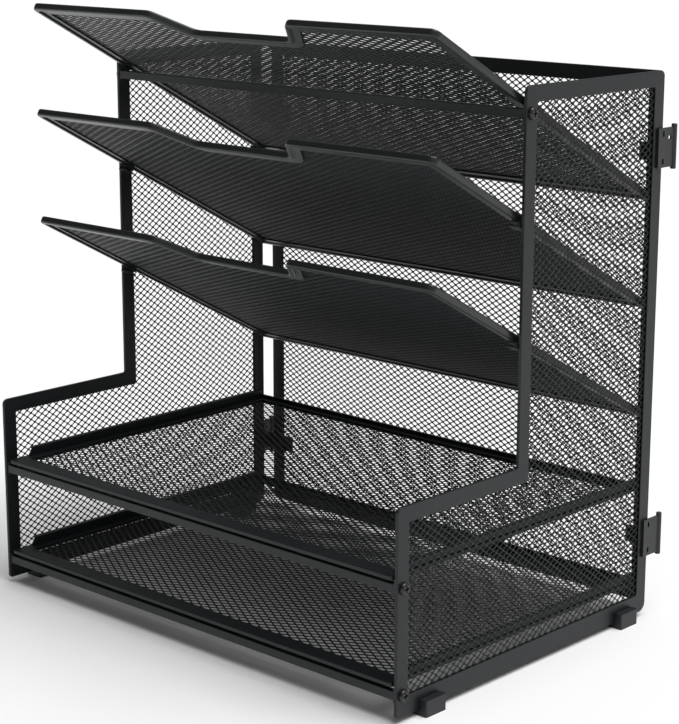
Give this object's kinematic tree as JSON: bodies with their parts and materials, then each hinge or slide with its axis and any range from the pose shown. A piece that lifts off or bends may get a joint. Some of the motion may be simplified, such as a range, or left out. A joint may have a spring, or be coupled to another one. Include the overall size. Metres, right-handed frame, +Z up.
{
  "type": "desktop file sorter",
  "caption": "Free-standing steel mesh desk sorter with flat paper trays below and sloped, notched shelves above, held between L-shaped side panels.",
  "frame": {"origin": "centre of the bounding box at desk level, on the feet's bottom faces", "axes": "+X to the viewer's right when facing the open front; -Y is the open front; +Z up"},
  "size_m": [0.34, 0.241, 0.364],
  "materials": {
    "frame_steel": "fine satin powder coat, near black",
    "steel_mesh": "satin powder coat on diamond mesh",
    "bracket_steel": "satin powder coat",
    "screw_steel": "black coated, slightly glossier than the frame",
    "foot_plastic": "moulded matt black"
  },
  "bodies": {
    "root": {"back_frame": "frame_steel", "back_mesh": "steel_mesh", "cross_bar_lower": "frame_steel", "cross_bar_top": "frame_steel", "cross_bar_upper": "frame_steel", "foot_front_left": "foot_plastic", "foot_front_right": "foot_plastic", "foot_rear_left": "foot_plastic", "foot_rear_right": "foot_plastic", "hangers_low": "bracket_steel", "hangers_middle": "bracket_steel", "hook_lower_left": "bracket_steel", "hook_lower_right": "bracket_steel", "hook_upper_left": "bracket_steel", "hook_upper_right": "bracket_steel", "screws": "screw_steel", "shelf_frame_low": "frame_steel", "shelf_frame_middle": "frame_steel", "shelf_frame_top": "frame_steel", "shelf_mesh_low": "steel_mesh", "shelf_mesh_middle": "steel_mesh", "shelf_mesh_top": "steel_mesh", "side_frame_left": "frame_steel", "side_frame_right": "frame_steel", "side_mesh_left": "steel_mesh", "side_mesh_right": "steel_mesh", "tray_frame_lower": "frame_steel", "tray_frame_upper": "frame_steel", "tray_mesh_lower": "steel_mesh", "tray_mesh_upper": "steel_mesh"}
  },
  "joints": []
}
